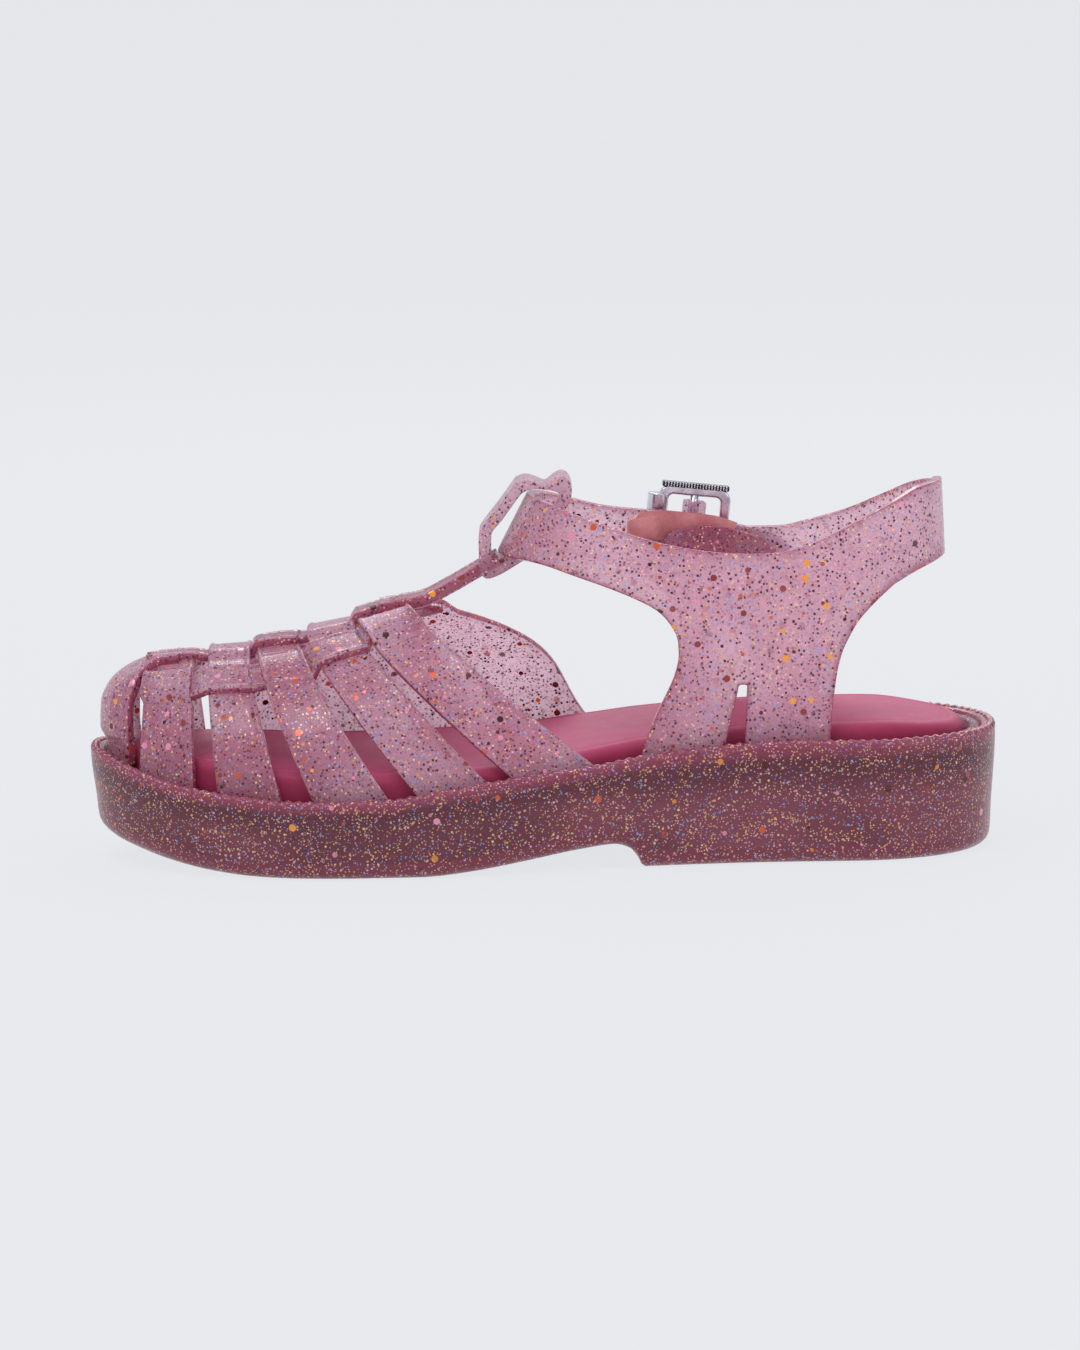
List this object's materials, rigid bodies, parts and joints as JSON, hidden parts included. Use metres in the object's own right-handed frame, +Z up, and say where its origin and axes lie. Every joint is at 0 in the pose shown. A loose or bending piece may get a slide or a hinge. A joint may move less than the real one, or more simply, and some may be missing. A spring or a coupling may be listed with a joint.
{
  "type": "jelly sandal",
  "caption": "Child's woven jelly sandal on a thick platform sole, with a T-bar, an ankle strap through a keeper loop and a buckle on the outer side.",
  "frame": {"origin": "centre of the bounding box at the lowest face of the sole", "axes": "toe towards -X, heel towards +X, outer side of the right foot towards +Y, +Z up"},
  "size_m": [0.19, 0.076, 0.0792],
  "materials": {
    "sole_jelly": "translucent plum jelly with glitter, semi-gloss",
    "footbed": "matte pink pad",
    "upper_jelly": "translucent mauve jelly with glitter",
    "chrome": "polished",
    "suede": "napped"
  },
  "bodies": {
    "root": {"sole": "sole_jelly", "insole": "footbed", "upper": "upper_jelly", "buckle_frame": "chrome", "buckle_prong": "chrome", "buckle_pad": "suede"}
  },
  "joints": []
}
